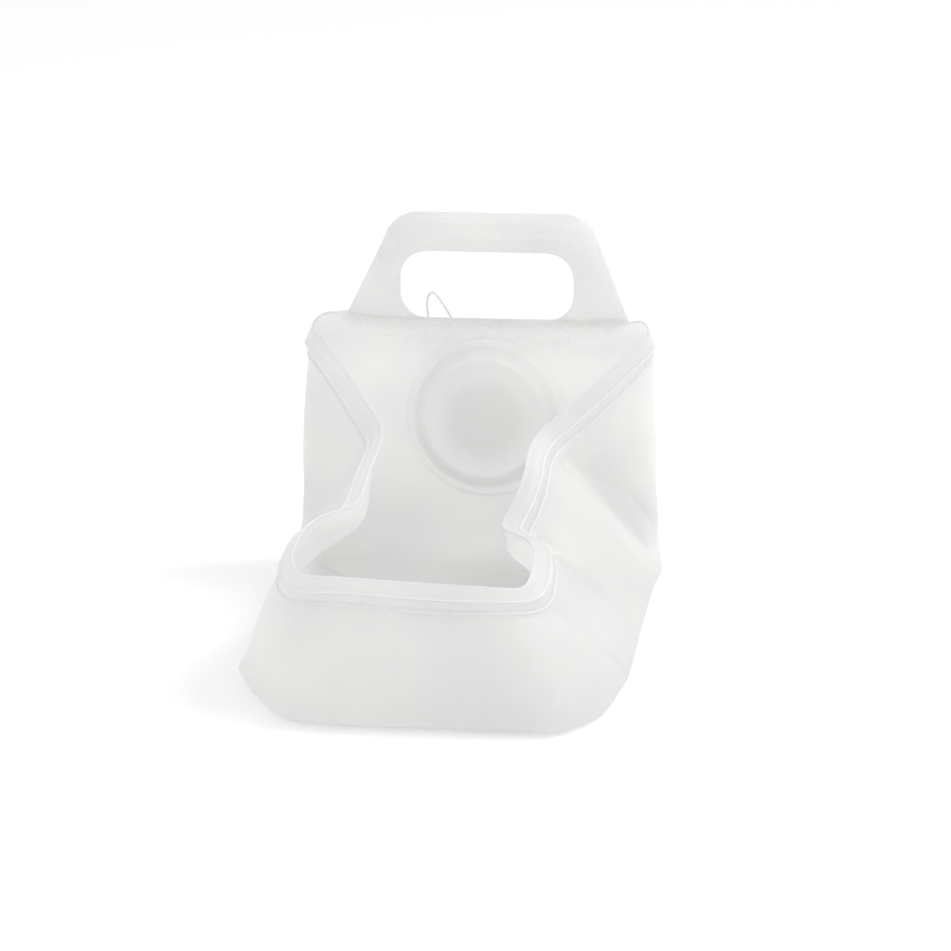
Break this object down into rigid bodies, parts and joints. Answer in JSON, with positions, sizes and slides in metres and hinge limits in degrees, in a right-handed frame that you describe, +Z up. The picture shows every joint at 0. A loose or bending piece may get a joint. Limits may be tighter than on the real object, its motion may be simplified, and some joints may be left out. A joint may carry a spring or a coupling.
{
  "type": "collapsible water carrier",
  "caption": "Translucent collapsible water jug, half folded into an armchair shape, with a carry handle on its stiff hoop and a screw cap with a small tap behind.",
  "frame": {"origin": "middle of the flat big face that the jug rests on", "axes": "+Z up, out of the face that it rests on; +X to the right when looking into the open hollow; -Y towards the open front, so the handle and the neck are on the +Y side"},
  "size_m": [0.2915, 0.4054, 0.2733],
  "materials": {
    "film": "natural translucent polyethylene, softly glossy, fine pebbled texture",
    "hoop": "natural translucent polyethylene, thick and stiff, fine ridges",
    "handle": "natural translucent polyethylene, softly glossy",
    "neck": "natural translucent polyethylene",
    "cap": "white polyethylene, satin",
    "seal": "grey rubber, matt",
    "spigot": "white polyethylene, satin",
    "nut": "white nylon, satin",
    "plug": "white acetal, smooth",
    "lever": "white polypropylene, satin",
    "tether": "natural polyethylene, flexible"
  },
  "bodies": {
    "base_shells": {"rear_half_shell": "film", "front_half_shell": "film", "fold_hoop": "hoop"},
    "back_panel": {"handle": "handle", "neck_finish": "neck", "tether_neck_ring": "tether", "tether_strap": "tether"},
    "cap_carrier": {"tether_cap_ring": "tether"},
    "cap": {"screw_cap": "cap", "cap_gasket": "seal", "spigot_body": "spigot", "spigot_washer": "seal", "spigot_nut": "nut"},
    "tap": {"tap_plug": "plug", "tap_lever": "lever", "plug_seal_upper": "seal", "plug_seal_lower": "seal"}
  },
  "joints": [
    {"name": "back_fold", "type": "hinge", "parent": "base_shells", "child": "back_panel", "pos_m": [0, 0.15741, 0.008], "axis": [1, 0, 0], "range_deg": [-10, 25], "deforming": ["rear_half_shell", "front_half_shell", "fold_hoop"]},
    {"name": "cap_lift", "type": "slide", "parent": "back_panel", "child": "cap_carrier", "axis": [0, 0.9927, -0.1209], "range_m": [0, 0.012], "deforming": ["tether_strap"]},
    {"name": "cap_turn", "type": "hinge", "parent": "cap_carrier", "child": "cap", "pos_m": [0.0035, 0.17063, 0.1165], "axis": [0, 0.9927, -0.1209], "range_deg": [0, 720]},
    {"name": "tap_turn", "type": "hinge", "parent": "cap", "child": "tap", "pos_m": [0.0035, 0.22974, 0.1093], "axis": [0, 0.1209, 0.9927], "range_deg": [0, 90]}
  ],
  "couplings": [
    {"joint": "cap_turn", "follows": "cap_lift", "rad_per_m": 1047}
  ]
}
